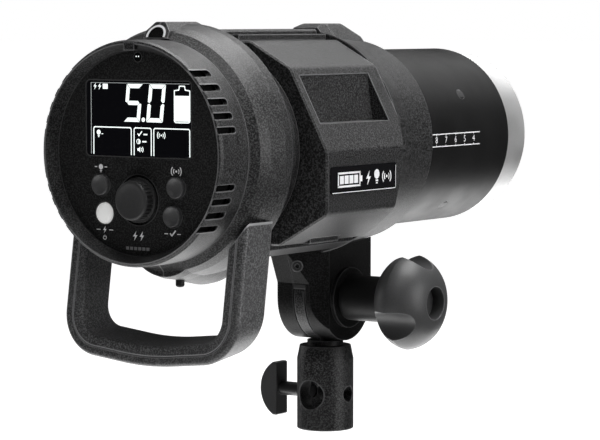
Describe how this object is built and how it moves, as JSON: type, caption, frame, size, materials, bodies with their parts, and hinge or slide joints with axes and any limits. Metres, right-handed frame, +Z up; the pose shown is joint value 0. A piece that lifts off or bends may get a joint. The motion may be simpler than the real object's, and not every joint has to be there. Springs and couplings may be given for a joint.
{
  "type": "monolight strobe",
  "caption": "Battery-powered studio flash head with a round tube front, rear control panel and carry handle, on a tilting stand adapter with a clamp screw.",
  "frame": {"origin": "centre of the stand socket's mouth, at the bottom of the stand adapter", "axes": "+Z up the stand socket; +Y is the way the light shines with the head level; +X is the side with the battery and the tilt knob"},
  "size_m": [0.1408, 0.3141, 0.2259],
  "materials": {
    "body_plastic": "fine moulded grain",
    "panel_plastic": "fine moulded grain",
    "screen_window": "polished smoked window",
    "screen_module": "satin",
    "dial_plastic": "ribbed, satin face",
    "button_rubber": "soft matt",
    "button_white": "smooth",
    "clear_window": "polished tinted",
    "rubber": "matt",
    "label_gloss": "polished",
    "tube_paint": "smooth satin paint",
    "bracket_paint": "fine powder coat",
    "receiver_paint": "fine powder coat",
    "knob_plastic": "semi-gloss",
    "ring_aluminium": "satin turned",
    "steel": "plain",
    "black_steel": "blackened",
    "frosted_glass": "frosted",
    "flash_glass": "clear",
    "lamp_lens": "domed, warm",
    "lamp_ceramic": "ceramic white",
    "lamp_metal": "plain sheet",
    "reflector_metal": "bright spun",
    "inner_plastic": "plain",
    "circuit_board": "solder mask",
    "capacitor_sleeve": "shrunk sleeve",
    "cell_sleeve": "shrunk sleeve",
    "contact_brass": "plated"
  },
  "bodies": {
    "stand_adapter": {"receiver": "receiver_paint"},
    "head": {"vent_ring": "body_plastic", "control_panel": "panel_plastic", "display_window": "screen_window", "display_module": "screen_module", "control_board": "circuit_board", "board_screws": "steel", "tact_switches": "circuit_board", "sensor_window": "clear_window", "dial_encoder": "steel", "rear_housing_left": "body_plastic", "rear_housing_right": "body_plastic", "slave_window": "clear_window", "rubber_foot": "rubber", "handle_outer_shell": "body_plastic", "handle_inner_shell": "body_plastic", "mid_housing": "body_plastic", "storage_capacitors": "capacitor_sleeve", "power_board": "circuit_board", "bay_contacts": "contact_brass", "top_rail": "body_plastic", "front_housing": "body_plastic", "front_tube": "tube_paint", "tube_screws": "black_steel", "lamp_carrier": "lamp_metal", "lamp_base": "lamp_ceramic", "modelling_lamp": "lamp_lens", "flash_tube": "flash_glass", "reflector_dish": "reflector_metal", "front_ring": "ring_aluminium", "glass_cover": "frosted_glass", "fan_frame": "inner_plastic", "bracket_left": "bracket_paint", "bracket_right": "bracket_paint", "bracket_screw": "black_steel", "friction_washers": "inner_plastic", "tilt_bolt": "steel", "thrust_washer": "bracket_paint"},
    "dial": {"dial": "dial_plastic"},
    "model_button": {"model_button": "button_rubber"},
    "sync_button": {"sync_button": "button_rubber"},
    "test_button": {"test_button": "button_white"},
    "ready_button": {"ready_button": "button_rubber"},
    "fan_rotor": {"fan_rotor": "inner_plastic"},
    "battery": {"battery_cover": "body_plastic", "battery_tray": "inner_plastic", "battery_contacts": "contact_brass", "battery_board": "circuit_board", "battery_cells": "cell_sleeve", "battery_label": "label_gloss"},
    "battery_latch": {"battery_latch": "body_plastic"},
    "tilt_knob": {"knob_hub": "knob_plastic", "tilt_knob": "knob_plastic", "knob_cap": "knob_plastic"},
    "clamp_screw": {"clamp_screw": "steel", "clamp_wing": "knob_plastic"}
  },
  "joints": [
    {"name": "head_tilt", "type": "hinge", "parent": "stand_adapter", "child": "head", "pos_m": [0, 0, 0.074], "axis": [1, 0, 0], "range_deg": [-90, 70]},
    {"name": "tilt_knob_turn", "type": "hinge", "parent": "head", "child": "tilt_knob", "pos_m": [0.05, 0, 0.074], "axis": [1, 0, 0], "range_deg": [0, 180]},
    {"name": "clamp_screw_turn", "type": "hinge", "parent": "stand_adapter", "child": "clamp_screw", "pos_m": [-0.03, 0, 0.02], "axis": [-1, 0, 0], "range_deg": [0, 360]},
    {"name": "dial_turn", "type": "hinge", "parent": "head", "child": "dial", "pos_m": [0, -0.17, 0.1365], "axis": [0, 1, 0], "continuous": true},
    {"name": "model_press", "type": "slide", "parent": "head", "child": "model_button", "axis": [0, 1, 0], "range_m": [0, 0.001], "stiffness_N_per_m": 1500},
    {"name": "sync_press", "type": "slide", "parent": "head", "child": "sync_button", "axis": [0, 1, 0], "range_m": [0, 0.001], "stiffness_N_per_m": 1500},
    {"name": "test_press", "type": "slide", "parent": "head", "child": "test_button", "axis": [0, 1, 0], "range_m": [0, 0.001], "stiffness_N_per_m": 1500},
    {"name": "ready_press", "type": "slide", "parent": "head", "child": "ready_button", "axis": [0, 1, 0], "range_m": [0, 0.001], "stiffness_N_per_m": 1500},
    {"name": "fan_spin", "type": "hinge", "parent": "head", "child": "fan_rotor", "pos_m": [0, -0.11, 0.16], "axis": [0, 1, 0], "continuous": true},
    {"name": "battery_slide", "type": "slide", "parent": "head", "child": "battery", "axis": [1, 0, 0], "range_m": [0, 0.06]},
    {"name": "latch_press", "type": "slide", "parent": "battery", "child": "battery_latch", "axis": [0, 0, 1], "range_m": [0, 0.002], "stiffness_N_per_m": 1000}
  ]
}
